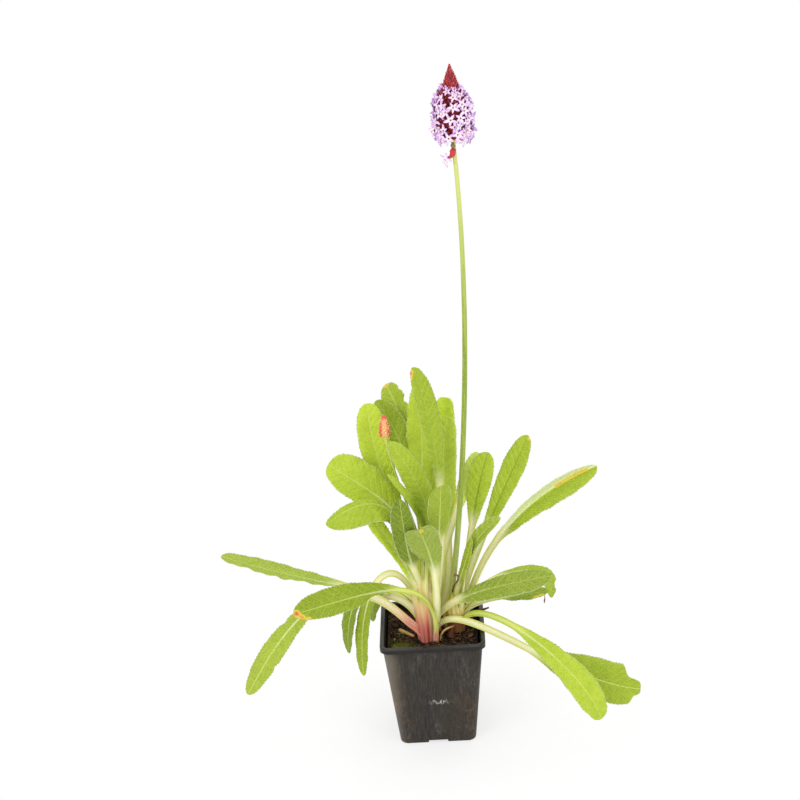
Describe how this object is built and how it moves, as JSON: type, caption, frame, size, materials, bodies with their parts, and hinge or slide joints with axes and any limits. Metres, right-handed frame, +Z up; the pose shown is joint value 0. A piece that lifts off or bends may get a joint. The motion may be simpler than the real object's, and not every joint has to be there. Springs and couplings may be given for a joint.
{
  "type": "potted orchid primrose",
  "caption": "Orchid primrose in a square nursery pot: a rosette of long stalked leaves and one tall stem with a lilac and red flower spike.",
  "frame": {"origin": "centre of the square pot's footprint on the ground", "axes": "+Z up along the plant; X and Y along the pot's sides; the flower stem leans to +X"},
  "size_m": [0.3488, 0.1741, 0.5848],
  "materials": {
    "pot": "moulded black polypropylene, dusty, a slight sheen on the rim",
    "compost": "damp peat and bark fibres, rough",
    "shoot": "fleshy, pink to rust red",
    "leaf": "soft matt yellow-green blade with a pale rib, the stalk pale to pink",
    "stem": "matt green with a fine pale meal",
    "flower": "lilac florets over dark red calyces",
    "bud": "coral red, bumpy",
    "yellowed": "dry yellow",
    "dry": "shrivelled brown",
    "moss": "matt moss",
    "bark": "rough brown bark"
  },
  "bodies": {
    "root": {"pot": "pot", "compost": "compost", "shoot_front": "shoot", "shoot_right": "shoot", "shoot_rear": "shoot", "leaf_tallest": "leaf", "leaf_behind_tallest": "leaf", "leaf_torn_edge": "leaf", "leaf_upper_left_back": "leaf", "leaf_upper_left": "leaf", "leaf_left_broad": "leaf", "leaf_left_nodding": "leaf", "leaf_left_toothed": "leaf", "leaf_front_dark": "leaf", "leaf_front_rolled": "leaf", "leaf_front_left": "leaf", "leaf_front_centre": "leaf", "leaf_front_low": "leaf", "leaf_left_level": "leaf", "leaf_far_left": "leaf", "leaf_left_hanging": "leaf", "leaf_arched_outer": "leaf", "leaf_arched_middle": "leaf", "leaf_arched_inner": "leaf", "leaf_square_tip": "leaf", "leaf_centre_back": "leaf", "leaf_right_back": "leaf", "leaf_right_upright": "leaf", "leaf_right_tall": "leaf", "leaf_right_folded": "leaf", "leaf_right_short": "leaf", "leaf_right_small": "leaf", "leaf_right_level": "leaf", "leaf_right_level_back": "leaf", "leaf_right_yellowed": "leaf", "leaf_right_hanging": "leaf", "leaf_right_torn": "leaf", "leaf_rear_upright": "leaf", "leaf_rear_leaning": "leaf", "leaf_rear_drooping": "leaf", "leaf_rear_right_drooping": "leaf", "leaf_rear_left_drooping": "leaf", "flower_stem": "stem", "flower_spike": "flower", "low_floret": "flower", "young_stem": "stem", "young_spike": "bud", "leaf_stub": "yellowed", "root_arc": "yellowed", "dried_base": "dry", "twig": "bark", "curled_tendril": "dry", "moss": "moss", "bark_chip_front": "bark", "bark_chip_left": "bark", "bark_chip_right": "bark"}
  },
  "joints": []
}
